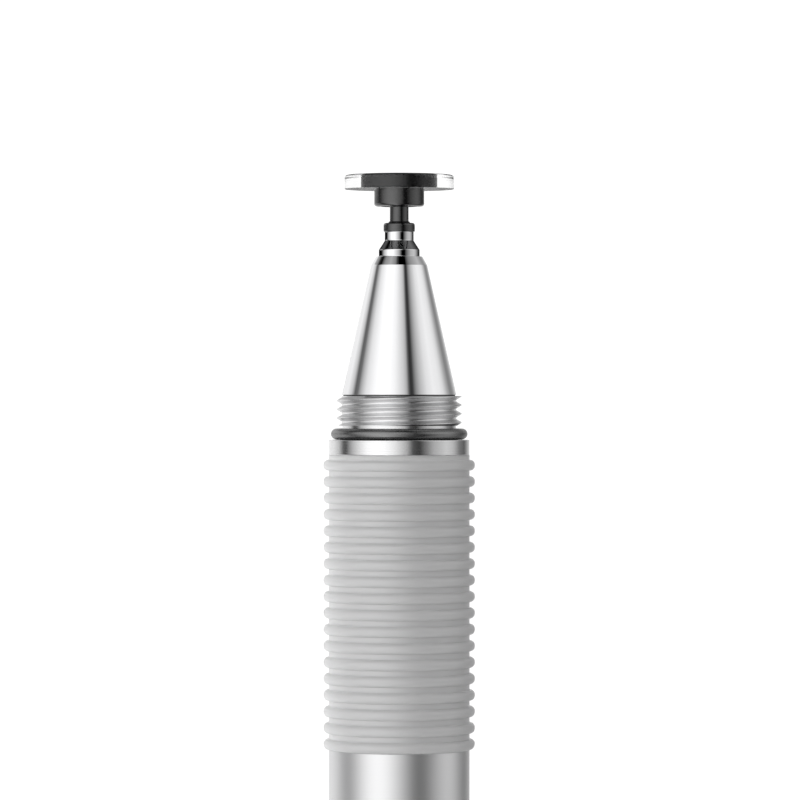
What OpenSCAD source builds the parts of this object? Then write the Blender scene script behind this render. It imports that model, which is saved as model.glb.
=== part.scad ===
// Stylus pen with a clear disc on a ball joint, a sprung tip, a ribbed grip and a screw cap.
// It stands on its capped tail with the tip up. Sizes are in millimetres, and the pen's axis is Z.

/* [Barrel] */
// Outer diameter of the barrel, both collars and the cap
barrel_d = 9; // [8.9:0.1:11]
// Diameter of the hole through the barrel
barrel_bore_d = 6.2; // [5.9:0.1:6.6]
// Length of the plain barrel behind the grip
barrel_len = 66; // [50:1:90]

/* [Grip] */
// Number of ribs round the grip sleeve
grip_ribs = 18; // [10:1:26]
// Distance from one rib to the next
rib_pitch = 1.05; // [0.9:0.05:1.4]
// Diameter of the round section of a rib
rib_d = 0.68; // [0.4:0.02:0.8]
// Distance from the front collar to the middle of the first rib
grip_lead = 0.66; // [0.5:0.02:1.5]
// Diameter of the turned-down seat under the grip sleeve
grip_seat_d = 7.6; // [7.2:0.1:8.2]

/* [Screw ends] */
// Diameter over the thread's crests
thread_d = 8; // [7.8:0.05:8.2]
// Distance from one crest to the next
thread_pitch = 0.56; // [0.5:0.01:0.62]
// Depth of the thread
thread_depth = 0.35; // [0.25:0.01:0.38]
// Angle between a flank of the thread and the plane across the pen's axis
thread_flank = 30; // [24:1:31]
// Length of the plain relief between the O-ring and the thread
relief_len = 0.16; // [0.1:0.01:0.4]
// Length of a screw end, from its collar to its end face
screw_len = 2.87; // [2.7:0.01:3.4]
// Length of the collar band at each end of the barrel
collar_len = 0.97; // [0.5:0.01:3]
// Length of the spigot that holds each screw end in the barrel
spigot_len = 6; // [3:0.5:10]
// Diameter of the hole in the front screw end
neck_bore_d = 5.2; // [4.8:0.1:5.5]
// Wall behind the blind hole of the tail screw end
tail_wall = 1.8; // [1:0.1:3]

/* [O-rings] */
// Thickness of the rubber cord of both O-rings
ring_cord = 0.7; // [0.5:0.05:0.8]

/* [Nose cone] */
// Length of the polished cone
cone_len = 8.37; // [7.5:0.01:10]
// Diameter of the cone where its front bevel starts
cone_tip_d = 3.54; // [3.4:0.02:4]
// Length of the bevel at the front of the cone
bevel_len = 0.48; // [0.3:0.02:0.8]
// Diameter of the cone's front face
bevel_d = 2.96; // [2.8:0.02:3.2]
// Length of the cone's rear spigot inside the screw end
cone_spigot_len = 4.4; // [3:0.1:6]
// Diameter of the spring chamber in the cone
chamber_d = 3; // [2.9:0.05:3.2]
// Diameter of the seat of the spring stop
stop_d = 4; // [3.6:0.1:4.3]
// Thickness of the spring stop
stop_len = 1.5; // [1:0.1:1.8]
// Distance from the cone's base to the spring stop's front face
stop_depth = 1.7; // [1.6:0.05:2.4]
// Diameter of the spring stop's post, which the stem's end meets when the tip is pressed
post_d = 1.2; // [0.8:0.1:1.6]

/* [Ferrule and bush] */
// Diameter of the ferrule's band in front of the cone
ferrule_d = 2.6; // [2.5:0.02:2.8]
// Length of that band
ferrule_band_len = 0.43; // [0.2:0.01:0.8]
// Length of the ferrule's small taper
ferrule_taper_len = 0.59; // [0.3:0.01:1]
// Diameter of the ferrule's neck
ferrule_neck_d = 1.84; // [1.8:0.02:2]
// Length of the ferrule's neck
ferrule_neck_len = 0.56; // [0.45:0.01:1]
// Diameter of the ferrule's shank inside the cone
shank_d = 2.3; // [2.1:0.02:2.4]
// Length of the ferrule's shank
shank_len = 1.8; // [1.4:0.05:2.4]
// Diameter of the black guide bush
bush_d = 2; // [1.9:0.02:2.2]
// Height of the guide bush
bush_len = 0.57; // [0.3:0.01:0.8]
// Diameter of the bush's spigot in the ferrule
bush_spigot_d = 1.52; // [1.46:0.02:1.56]
// Length of that spigot
bush_spigot_len = 0.35; // [0.2:0.01:0.4]

/* [Stem and cushion] */
// Diameter of the stem
stem_d = 1.2; // [1.1:0.02:1.24]
// Length of stem that shows between the bush and the socket
stem_show = 1.05; // [1:0.01:1.4]
// Diameter of the stem's journal in the plunger
journal_d = 0.9; // [0.7:0.02:1]
// How far the tip gives when it is pressed
stroke = 0.35; // [0.1:0.01:0.38]
// Thickness of the plunger's flange
plunger_flange = 0.6; // [0.4:0.05:0.9]
// Diameter of the plunger's tail
plunger_tail_d = 1.5; // [1.3:0.02:1.6]
// Length of the plunger's tail
plunger_tail = 1; // [0.5:0.05:1.5]
// Thickness of the clip that holds the stem in the plunger
clip_t = 0.2; // [0.12:0.02:0.3]
// Diameter of the groove for the clip
groove_d = 0.6; // [0.4:0.02:0.64]
// Thickness of the spring wire
spring_wire = 0.24; // [0.15:0.01:0.28]
// Diameter of the spring at the middle of its wire
spring_d = 2.16; // [2:0.02:2.3]
// Number of turns of the spring
spring_turns = 5.5; // [4:0.5:6]

/* [Ball joint and disc] */
// Diameter of the stem's ball
ball_d = 2; // [1.9:0.02:2.04]
// Height of the ball's middle above the socket's mouth
ball_height = 0.8; // [0.75:0.01:0.85]
// Diameter of the socket
socket_d = 3.2; // [3.1:0.02:3.6]
// Height of the socket below the disc
socket_len = 1.17; // [1.1:0.01:1.4]
// Diameter of the socket's core, which fills the hole in the disc
core_d = 3.08; // [2.9:0.02:3.1]
// Diameter of the clear disc
disc_d = 7; // [6:0.1:7.1]
// Thickness of the clear disc
disc_t = 0.85; // [0.8:0.01:1.2]
// Largest tilt of the disc to each side, in degrees
tilt_max = 30; // [10:1:30]

/* [Cap] */
// Length of the cap
cap_len = 19; // [18.6:0.1:26]
// Diameter of the hole in the cap, behind its thread
cap_bore_d = 7.48; // [7.46:0.02:7.6]
// Thickness of the flange of the cap's end plug
cap_flange = 0.5; // [0.3:0.05:1]
// Length of the end plug's spigot inside the cap
cap_plug_len = 1.1; // [0.6:0.05:1.4]
// Thickness of the soft pad in the cap
pad_t = 0.6; // [0.3:0.05:0.8]

/* [Magnet] */
// Diameter of the magnet in the barrel
magnet_d = 5.2; // [4:0.1:5.4]
// Length of the magnet
magnet_len = 12; // [5:0.5:20]
// Thickness of the magnet carrier's end wall
carrier_wall = 1; // [0.5:0.1:2]
// Distance from the tail collar to the magnet carrier
carrier_place = 26; // [12:1:34]

/* [Clearances] */
// Radial clearance between fixed pieces that are pressed or screwed together
fit = 0.02; // [0.01:0.005:0.03]
// Radial clearance between pieces that slide or turn
run = 0.04; // [0.03:0.005:0.05]
// Gap between faces that rest on each other: the O-rings' seats, and the plunger's stop
seat_gap = 0.02; // [0.015:0.005:0.03]
// Radial clearance over the crests of the thread, which also clears its flanks
thread_gap = 0.1; // [0.07:0.01:0.12]
// Width of the small chamfer on turned edges
edge = 0.06; // [0.03:0.01:0.1]

/* [Hidden] */

$fn = 96;
over = 1; // how far a cutting shape runs past what it cuts

// Radii that several pieces share
barrel_r = barrel_d / 2;
root_r = thread_d / 2 - thread_depth;
ring_mid_r = root_r + seat_gap + ring_cord / 2;
stem_r = stem_d / 2;
shank_bore_r = stem_r + run;
ball_r = ball_d / 2;

// Heights of the screw ends' collars, which are the seats of the O-rings
ring_stack = ring_cord + 2 * seat_gap;
tail_z = cap_len + ring_stack;
grip_len = grip_lead + (grip_ribs - 1) * rib_pitch + rib_d / 2;
barrel_low = tail_z + collar_len;
grip_low = barrel_low + barrel_len;
barrel_high = grip_low + grip_len;
front_z = barrel_high + collar_len;

// Heights of the nose and the tip, from the front screw end up
cone_z = front_z + screw_len;
bevel_z = cone_z + cone_len;
ferrule_z = bevel_z + bevel_len;
taper_z = ferrule_z + ferrule_band_len;
neck_z = taper_z + ferrule_taper_len;
bush_z = neck_z + ferrule_neck_len;
stem_z = bush_z + bush_len;
socket_z = stem_z + stem_show;
ball_z = socket_z + ball_height;
disc_z = socket_z + socket_len;
top_z = disc_z + disc_t;

// Heights of the cushion inside the cone
shank_z = ferrule_z - shank_len;
plunger_z = shank_z - seat_gap;
flange_z = plunger_z - plunger_flange;
clip_z = flange_z - plunger_tail - fit;
stem_low = clip_z - 3 * clip_t;
stop_z = cone_z + stop_depth;
post_z = stem_low - stroke - seat_gap;

// Pieces of the cap
cap_floor = cap_flange + cap_plug_len;

// Thread: flats in a turn, width of its ridge, and the heights that it is cut off at
thread_sides = 48;
flank_slope = tan(thread_flank);
ridge_end = 0.02; // height that is left of the ridge where it begins and ends
ridge_low = ring_stack + relief_len;
ridge_high = screw_len - edge;
top_crest = screw_len - 0.09; // height of the last crest at the pen's right side
wall_overlap = 0.15; // how far the thread's wall reaches into the plain wall behind it
seam = 0.015; // how far the thread's wall stays inside the plain wall beside it

// Female thread of the cap, cut to the same helix with room over its crests and flanks
nut_root_r = cap_bore_d / 2;
nut_tip_r = thread_d / 2 + thread_gap;
nut_len = screw_len + thread_pitch;

// Solid of revolution about the pen's axis from [radius, height] points
module turned(points) {
    rotate_extrude()
        polygon(points);
}

// Plain round piece between two heights, with chamfered edges
module turned_bar(r, low, high, chamfer = edge) {
    turned([[0, low], [r - chamfer, low], [r, low + chamfer],
            [r, high - chamfer], [r - chamfer, high], [0, high]]);
}

// Round hole between two heights
module bore(r, low, high) {
    translate([0, 0, low])
        cylinder(r = r, h = high - low);
}

// Points round the axis at one radius and height, one at each flat of the thread
function circle_points(r, z, turn) =
    [for (s = [0:thread_sides - 1])
        let (angle = turn + 360 * s / thread_sides)
        [r * cos(angle), r * sin(angle), z]];

function reversed(list) = [for (i = [len(list) - 1:-1:0]) list[i]];

// The two triangles of a face with four corners
function split(a, b, c, d) = [[a, b, c], [a, c, d]];

// A ring with a helical ridge on its wall at wall_r, or a helical groove if plain_r is the larger.
// The ridge's three corners are its lower root, its crest and its upper root. It is cut off flat at
// the heights low_cut and high_cut, where a real thread runs out.
module thread_ring(plain_r, wall_r, tip_r, low, low_cut, high_cut, high) {
    n = thread_sides;
    half = (tip_r - wall_r) * flank_slope;
    start = low_cut - half + ridge_end;
    steps = floor(n * (high_cut + half - ridge_end - start) / thread_pitch);
    turn = 360 * (start - top_crest) / thread_pitch;
    ridge = [for (q = [0:steps])
        let (
            angle = turn + 360 * q / n,
            middle = start + thread_pitch * q / n,
            reach = min(half, middle + half - low_cut, high_cut - middle + half),
            corners = [[wall_r, max(middle - half, low_cut)],
                       [wall_r + reach / flank_slope, min(max(middle, low_cut), high_cut)],
                       [wall_r, min(middle + half, high_cut)]]
        )
        each [for (c = corners) [c[0] * cos(angle), c[0] * sin(angle), c[1]]]];
    points = concat(ridge, circle_points(wall_r, low, turn), circle_points(wall_r, high, turn),
                    circle_points(plain_r, low, turn), circle_points(plain_r, high, turn));
    // Numbers of the points: the ridge's roots and crest at step q, and the circles at station s
    function root(q) = 3 * q;
    function crest(q) = 3 * q + 1;
    function top(q) = 3 * q + 2;
    function low_wall(s) = len(ridge) + s % n;
    function high_wall(s) = len(ridge) + n + s % n;
    function low_plain(s) = len(ridge) + 2 * n + s % n;
    function high_plain(s) = len(ridge) + 3 * n + s % n;
    last = steps - n; // the station below the ridge's end
    faces = concat(
        [for (q = [0:steps - 1])
            each concat(split(root(q), crest(q), crest(q + 1), root(q + 1)),
                        split(crest(q), top(q), top(q + 1), crest(q + 1)))],
        [for (q = [0:last - 1]) each split(top(q), root(q + n), root(q + n + 1), top(q + 1))],
        [for (q = [0:n - 2]) each split(low_wall(q), root(q), root(q + 1), low_wall(q + 1))],
        [for (q = [last + 1:steps - 1]) each split(top(q), high_wall(q), high_wall(q + 1), top(q + 1))],
        // Where the ridge begins and ends, the wall beside it has the ridge's end on one side
        [[root(0), crest(0), top(0)], [top(steps), crest(steps), root(steps)]],
        [for (side = [[root(n - 1), root(n)], [root(n), top(0)], [top(0), root(0)],
                      [root(0), low_wall(0)]])
            [low_wall(n - 1), side[0], side[1]]],
        [for (side = [[top(last), root(steps)], [root(steps), top(steps)],
                      [top(steps), high_wall(last)], [high_wall(last), high_wall(last + 1)]])
            [top(last + 1), side[0], side[1]]],
        [for (s = [0:n - 1])
            each concat(split(low_plain(s), low_plain(s + 1), high_plain(s + 1), high_plain(s)),
                        split(low_wall(s), low_wall(s + 1), low_plain(s + 1), low_plain(s)),
                        split(high_wall(s + 1), high_wall(s), high_plain(s), high_plain(s + 1)))]
    );
    polyhedron(points, plain_r < wall_r ? faces : [for (f = faces) reversed(f)]);
}

// Male thread of a screw end, whose collar is at height 0 and whose end face points up
module male_thread() {
    thread_ring(root_r - wall_overlap, root_r - seam, thread_d / 2,
                ridge_low - edge, ridge_low, ridge_high, ridge_high + edge / 2);
}

// Female thread of the cap in the same place, which runs past the cap's mouth to be cut off there
module female_thread() {
    thread_ring(nut_tip_r + wall_overlap, nut_root_r + seam, nut_tip_r,
                ring_stack - 1.5 * thread_pitch, ring_stack - thread_pitch, nut_len - edge, nut_len);
}

// A screw end without its hole: spigot, collar, O-ring seat and thread, collar at height 0
module screw_end() {
    wall_r = root_r - wall_overlap / 2;
    foot = -collar_len - spigot_len;
    spigot_r = barrel_bore_d / 2 - fit;
    relief_high = ridge_low - edge / 2;
    end_low = ridge_high + edge / 4;
    union() {
        turned([[0, foot], [spigot_r - edge, foot], [spigot_r, foot + edge], [spigot_r, -collar_len],
                [barrel_r - edge, -collar_len], [barrel_r, edge - collar_len], [barrel_r, -edge],
                [barrel_r - edge, 0], [root_r, 0], [root_r, relief_high], [wall_r, relief_high],
                [wall_r, end_low], [root_r, end_low], [root_r - edge / 2, screw_len], [0, screw_len]]);
        male_thread();
    }
}

// O-ring on a screw end, collar at height 0
module o_ring() {
    rotate_extrude()
        translate([ring_mid_r, seat_gap + ring_cord / 2])
            circle(d = ring_cord, $fn = 48);
}

// The tail's screw end points down
module at_tail() {
    translate([0, 0, tail_z])
        rotate([180, 0, 0])
            children();
}

module disc() {
    rim = 0.16;
    color("aliceblue", 0.5)
        difference() {
            turned([[0, disc_z], [disc_d / 2 - rim, disc_z], [disc_d / 2, disc_z + rim],
                    [disc_d / 2, top_z - rim], [disc_d / 2 - rim, top_z], [0, top_z]]);
            bore(core_d / 2 + fit / 2, disc_z - over, top_z + over);
        }
}

module ball_socket() {
    r = socket_d / 2;
    lip = 0.18;
    ball_gap = 0.75 * run;
    flare = (stem_r + run) / cos(tilt_max);
    color("dimgray")
        difference() {
            turned([[0, socket_z], [r - lip, socket_z], [r, socket_z + lip], [r, disc_z],
                    [core_d / 2, disc_z], [core_d / 2, top_z], [0, top_z]]);
            translate([0, 0, ball_z])
                sphere(r = ball_r + ball_gap);
            // The mouth opens just wide enough for the stem at the disc's largest tilt
            translate([0, 0, socket_z - over])
                cylinder(r1 = flare + (ball_height + over) * tan(tilt_max), r2 = flare, h = ball_height + over);
        }
}

module ball_stem() {
    groove_low = clip_z - clip_t - fit;
    color("darkslategray")
        union() {
            translate([0, 0, ball_z])
                sphere(r = ball_r);
            turned([[0, stem_low], [journal_d / 2, stem_low], [journal_d / 2, groove_low],
                    [groove_d / 2, groove_low], [groove_d / 2, clip_z + fit], [journal_d / 2, clip_z + fit],
                    [journal_d / 2, plunger_z + fit], [stem_r, plunger_z + fit],
                    [stem_r, ball_z - ball_r / 2], [0, ball_z - ball_r / 2]]);
        }
}

module stem_clip() {
    slot_w = groove_d * 0.8;
    color("silver")
        translate([0, 0, clip_z - clip_t])
            difference() {
                cylinder(d = plunger_tail_d, h = clip_t);
                translate([0, 0, -over])
                    cylinder(d = groove_d + 2 * fit, h = clip_t + 2 * over);
                translate([0, -slot_w / 2, -over])
                    cube([plunger_tail_d, slot_w, clip_t + 2 * over]);
            }
}

module plunger() {
    r = chamber_d / 2 - run;
    color("goldenrod")
        difference() {
            turned([[0, flange_z - plunger_tail], [plunger_tail_d / 2, flange_z - plunger_tail],
                    [plunger_tail_d / 2, flange_z], [r, flange_z], [r, plunger_z - edge],
                    [r - edge, plunger_z], [0, plunger_z]]);
            bore(journal_d / 2 + run / 2, flange_z - plunger_tail - over, plunger_z + over);
        }
}

// Open coil spring, one unbroken wire between the spring stop and the plunger's flange
module cushion_spring() {
    ring_sides = 6;
    rings_per_turn = 14;
    rings = spring_turns * rings_per_turn;
    low = stop_z + spring_wire / 2;
    rise = flange_z - spring_wire / 2 - low;
    function wire_point(i, k) =
        let (
            turn = 360 * i / rings_per_turn,
            side = 360 * k / ring_sides,
            r = (spring_d + spring_wire * cos(side)) / 2
        )
        [r * cos(turn), r * sin(turn), low + rise * i / rings + spring_wire * sin(side) / 2];
    points = [for (i = [0:rings], k = [0:ring_sides - 1]) wire_point(i, k)];
    function at(i, k) = i * ring_sides + k % ring_sides;
    sides = [for (i = [0:rings - 1], k = [0:ring_sides - 1])
        each [[at(i, k), at(i, k + 1), at(i + 1, k + 1)], [at(i, k), at(i + 1, k + 1), at(i + 1, k)]]];
    caps = [[for (k = [ring_sides - 1:-1:0]) at(0, k)], [for (k = [0:ring_sides - 1]) at(rings, k)]];
    color("silver")
        polyhedron(points, concat(sides, caps));
}

// Slotted plug under the spring, with the post that stops the stem
module spring_stop() {
    slot_w = 0.6;
    slot_depth = 0.5;
    r = stop_d / 2 - fit;
    post_r = post_d / 2;
    low = stop_z - stop_len;
    color("goldenrod")
        difference() {
            turned([[0, low], [r - edge, low], [r, low + edge], [r, stop_z - edge], [r - edge, stop_z],
                    [post_r, stop_z], [post_r, post_z - edge], [post_r - edge, post_z], [0, post_z]]);
            translate([-stop_d / 2, -slot_w / 2, low - over])
                cube([stop_d, slot_w, slot_depth + over]);
        }
}

module nose_bush() {
    r = bush_d / 2;
    color("dimgray")
        difference() {
            turned([[0, bush_z - bush_spigot_len], [bush_spigot_d / 2, bush_z - bush_spigot_len],
                    [bush_spigot_d / 2, bush_z], [r - edge / 2, bush_z], [r, bush_z + edge / 2],
                    [r, stem_z - 2 * edge], [r - 2 * edge, stem_z], [0, stem_z]]);
            bore(shank_bore_r, bush_z - bush_spigot_len - over, stem_z + over);
        }
}

module ferrule() {
    neck_r = ferrule_neck_d / 2;
    band_r = ferrule_d / 2;
    color("gainsboro")
        difference() {
            turned([[0, shank_z], [shank_d / 2 - edge, shank_z], [shank_d / 2, shank_z + edge],
                    [shank_d / 2, ferrule_z], [band_r, ferrule_z], [band_r, taper_z],
                    [neck_r, neck_z], [neck_r, bush_z], [0, bush_z]]);
            bore(shank_bore_r, shank_z - over, bush_z + over);
            bore(bush_spigot_d / 2 + fit, bush_z - bush_spigot_len - fit, bush_z + over);
        }
}

module nose_cone() {
    spigot_r = neck_bore_d / 2 - fit;
    low = cone_z - cone_spigot_len;
    color("gainsboro")
        difference() {
            turned([[0, low], [spigot_r - edge, low], [spigot_r, low + edge], [spigot_r, cone_z],
                    [root_r, cone_z], [cone_tip_d / 2, bevel_z], [bevel_d / 2, ferrule_z], [0, ferrule_z]]);
            bore(shank_d / 2 + fit, shank_z - over, ferrule_z + over);
            bore(chamber_d / 2, stop_z - over, shank_z);
            bore(stop_d / 2, low - over, stop_z);
        }
}

module screw_neck() {
    color("lightgray")
        translate([0, 0, front_z])
            difference() {
                screw_end();
                bore(neck_bore_d / 2, -collar_len - spigot_len - over, screw_len + over);
            }
}

module tail_plug() {
    color("lightgray")
        at_tail()
            difference() {
                screw_end();
                bore(neck_bore_d / 2, -collar_len - spigot_len - over, screw_len - tail_wall);
            }
}

module front_o_ring() {
    color("dimgray")
        translate([0, 0, front_z])
            o_ring();
}

module tail_o_ring() {
    color("dimgray")
        at_tail()
            o_ring();
}

module grip_sleeve() {
    seat_r = grip_seat_d / 2 + fit / 2;
    first_rib = barrel_high - grip_lead;
    color("lightgray")
        rotate_extrude()
            union() {
                translate([seat_r, grip_low])
                    square([barrel_r - seat_r, grip_len]);
                for (i = [0:grip_ribs - 1])
                    translate([barrel_r, first_rib - i * rib_pitch])
                        circle(d = rib_d, $fn = 48);
            }
}

module barrel() {
    color("silver")
        difference() {
            turned([[0, barrel_low], [barrel_r - edge, barrel_low], [barrel_r, barrel_low + edge],
                    [barrel_r, grip_low], [grip_seat_d / 2, grip_low], [grip_seat_d / 2, barrel_high],
                    [0, barrel_high]]);
            bore(barrel_bore_d / 2, barrel_low - over, barrel_high + over);
        }
}

module magnet_carrier() {
    low = barrel_low + carrier_place;
    high = low + carrier_wall + magnet_len;
    color("white")
        difference() {
            turned_bar(barrel_bore_d / 2 - fit, low, high);
            bore(magnet_d / 2 + fit, low + carrier_wall, high + over);
        }
}

module magnet() {
    low = barrel_low + carrier_place + carrier_wall;
    color("gray")
        turned_bar(magnet_d / 2, low, low + magnet_len, 2 * edge);
}

module cap_shell() {
    liner_r = nut_tip_r + wall_overlap / 2;
    thread_end = tail_z - nut_len + edge / 2;
    blank_high = cap_len + thread_pitch;
    color("silver")
        difference() {
            union() {
                difference() {
                    bore(barrel_r, cap_flange, blank_high);
                    bore(cap_bore_d / 2, cap_flange - over, blank_high + over);
                    bore(liner_r, thread_end, blank_high + over);
                }
                at_tail()
                    female_thread();
            }
            // The mouth's face and its chamfer cut the wall and the thread together
            turned([[0, cap_len], [barrel_r - edge, cap_len], [barrel_r + over, cap_len - edge - over],
                    [barrel_r + over, blank_high + over], [0, blank_high + over]]);
        }
}

module cap_end() {
    r = barrel_r;
    plug_r = cap_bore_d / 2 - fit;
    rim = 0.25;
    color("silver")
        turned([[0, 0], [r - rim, 0], [r, rim], [r, cap_flange], [plug_r, cap_flange],
                [plug_r, cap_floor - edge], [plug_r - edge, cap_floor], [0, cap_floor]]);
}

module cap_pad() {
    color("slategray")
        turned_bar(cap_bore_d / 2 - 2 * fit, cap_floor, cap_floor + pad_t);
}

disc();
ball_socket();
ball_stem();
stem_clip();
plunger();
cushion_spring();
spring_stop();
nose_bush();
ferrule();
nose_cone();
screw_neck();
front_o_ring();
grip_sleeve();
barrel();
magnet();
magnet_carrier();
tail_plug();
tail_o_ring();
cap_shell();
cap_end();
cap_pad();
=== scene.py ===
"""Stylus pen with a clear disc tip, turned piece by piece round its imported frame, in a small studio."""

import math

import bmesh
import bpy
from bpy.props import FloatProperty, FloatVectorProperty, IntProperty, PointerProperty
from mathutils import Matrix, Vector


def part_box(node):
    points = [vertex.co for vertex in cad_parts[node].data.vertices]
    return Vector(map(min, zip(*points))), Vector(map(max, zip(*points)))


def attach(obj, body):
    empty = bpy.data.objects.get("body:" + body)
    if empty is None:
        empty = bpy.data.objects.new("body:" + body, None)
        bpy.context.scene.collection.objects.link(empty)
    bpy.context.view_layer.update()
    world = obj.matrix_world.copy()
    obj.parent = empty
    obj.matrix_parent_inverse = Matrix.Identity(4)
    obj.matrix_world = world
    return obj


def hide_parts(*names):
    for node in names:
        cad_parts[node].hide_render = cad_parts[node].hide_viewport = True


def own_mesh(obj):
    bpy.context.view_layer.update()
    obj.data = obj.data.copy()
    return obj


bl_info = {
    "name": "Stylus Pen",
    "version": (1, 0, 0),
    "blender": (4, 5, 0),
    "location": "3D View > Sidebar > Pen",
    "description": "Adds a stylus pen with a clear disc tip, piece by piece, and a studio to show it in",
    "category": "Add Mesh",
}

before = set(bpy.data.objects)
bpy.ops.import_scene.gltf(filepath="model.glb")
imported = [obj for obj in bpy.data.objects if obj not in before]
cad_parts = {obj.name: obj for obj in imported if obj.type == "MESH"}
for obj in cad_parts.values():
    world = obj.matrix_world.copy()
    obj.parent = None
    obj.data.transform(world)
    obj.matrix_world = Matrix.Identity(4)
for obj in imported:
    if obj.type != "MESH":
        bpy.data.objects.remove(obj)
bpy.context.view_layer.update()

MM = 0.001
FULL_TURN = 2 * math.pi
SHARP = math.radians(32)  # edges that turn more than this stay sharp
SUPPORT = 0.02 * MM  # how close a straight stretch keeps its own shading to a rounded corner
FIT = 0.02 * MM  # gap between pieces that fit into each other
SUNK = 0.08 * MM  # how deep the foot of a thread's ridge sits in its wall
CREST_LEAD = 0.09 * MM  # distance from a screw end's face to its first crest
FLANK_SLOPE = math.tan(math.radians(30))  # how a thread's flanks lean
SHADE_GROOVE = 0.07 * MM  # width and depth of the groove at the cone's foot, whose faces carry painted shade
BALL_DEPTH = 0.8 * MM  # height of the ball's middle over the socket's mouth
DISC_TILT = math.radians(30)  # how far the disc tilts each way
ARC_STEPS = 16  # straight stretches in the outline of the ball or its cavity


def low(node):
    """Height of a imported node's lowest point."""
    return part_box(node)[0].z


def high(node):
    """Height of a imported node's highest point."""
    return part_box(node)[1].z


def reach(node):
    """Outer radius of a packed round node."""
    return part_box(node)[1].x


def length_prop(name, description, value):
    """A size of the pen in metres."""
    return FloatProperty(
        name=name, description=description, default=value, min=0.0, unit="LENGTH", precision=5
    )


def colour_prop(name, description, value):
    """A colour of one of the pen's finishes."""
    return FloatVectorProperty(
        name=name, description=description, default=value, size=3, min=0.0, max=1.0, subtype="COLOR"
    )


def factor_prop(name, description, value, top=1.0):
    """A number from nought to top, such as a roughness."""
    return FloatProperty(
        name=name, description=description, default=value, min=0.0, max=top, subtype="FACTOR"
    )


class PenSizes(bpy.types.PropertyGroup):
    """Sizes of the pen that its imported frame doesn't give by itself."""

    seat_gap: length_prop("Seat gap", "Gap between an O-ring and the collar that it sits on", 0.02 * MM)
    barrel_d: length_prop("Barrel diameter", "Diameter of barrel, collars and cap", 2 * reach("barrel"))
    bore_d: length_prop("Barrel bore", "Diameter of the hole through the barrel", 6.2 * MM)
    grip_seat_d: length_prop("Grip seat", "Diameter of the seat under the grip sleeve", 7.6 * MM)
    rib_count: IntProperty(name="Ribs", description="Number of ribs round the grip", default=18, min=1)
    rib_pitch: length_prop("Rib pitch", "Distance from one rib to the next", 1.05 * MM)
    rib_d: length_prop("Rib thickness", "Thickness of a rib along the pen", 0.68 * MM)
    grip_lead: length_prop("Grip lead", "Distance from the grip's front end to its first rib", 0.66 * MM)
    thread_d: length_prop("Thread diameter", "Diameter over the thread's crests", 8 * MM)
    thread_pitch: length_prop("Thread pitch", "Distance from one crest to the next", 0.56 * MM)
    thread_depth: length_prop("Thread depth", "Depth of the thread", 0.35 * MM)
    thread_gap: length_prop("Thread gap", "Room over the crests in the cap's thread", 0.1 * MM)
    neck_bore_d: length_prop("Neck bore", "Diameter of the hole in a screw end", 5.2 * MM)
    tail_wall: length_prop("Tail wall", "Wall behind the blind hole of the tail's screw end", 1.8 * MM)
    cone_tip_d: length_prop("Cone tip", "Diameter of the cone where its bevel starts", 3.59 * MM)
    bevel_len: length_prop("Bevel length", "Length of the bevel at the front of the cone", 0.56 * MM)
    bevel_d: length_prop("Cone face", "Diameter of the cone's front face", 2.96 * MM)
    stop_d: length_prop("Stop seat", "Diameter of the seat of the spring stop", 4 * MM)
    chamber_d: length_prop("Spring chamber", "Diameter of the spring chamber", 3 * MM)
    shank_d: length_prop("Shank", "Diameter of the ferrule's shank", 2.3 * MM)
    band_d: length_prop("Ferrule band", "Diameter of the ferrule's band", 2.6 * MM)
    band_len: length_prop("Band length", "Length of the ferrule's band", 0.43 * MM)
    taper_len: length_prop("Taper length", "Length of the ferrule's taper", 0.59 * MM)
    neck_d: length_prop("Ferrule neck", "Diameter of the ferrule's neck", 1.84 * MM)
    bush_spigot_d: length_prop("Bush spigot", "Diameter of the bush's spigot", 1.52 * MM)
    stem_d: length_prop("Stem", "Diameter of the stem", 1.2 * MM)
    journal_d: length_prop("Journal", "Diameter of the stem's journal", 0.9 * MM)
    groove_d: length_prop("Groove", "Diameter of the groove for the stem's clip", 0.6 * MM)
    ball_d: length_prop("Ball", "Diameter of the stem's ball", 2 * MM)
    disc_grip: length_prop("Disc grip", "How far the disc reaches down over the socket", 0.06 * MM)
    core_d: length_prop("Core", "Diameter of the socket's core inside the disc", 3.08 * MM)
    disc_d: length_prop("Disc", "Diameter of the clear disc", 2 * reach("disc"))
    wire_d: length_prop("Spring wire", "Thickness of the spring's wire", 0.24 * MM)
    spring_turns: FloatProperty(name="Spring turns", description="Turns of its wire", default=5.5, min=1.0)
    cap_bore_d: length_prop("Cap bore", "Diameter of the hole in the cap", 7.48 * MM)
    cap_thread_len: length_prop("Cap thread", "Length of the threaded part of the cap's hole", 2.63 * MM)
    cap_flange: length_prop("Cap flange", "Thickness of the flange of the cap's end", 0.5 * MM)
    steps: IntProperty(name="Steps", description="Faces round a turned piece", default=192, min=24)
    grip_steps: IntProperty(name="Grip steps", description="Faces round the grip", default=160, min=24)


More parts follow.
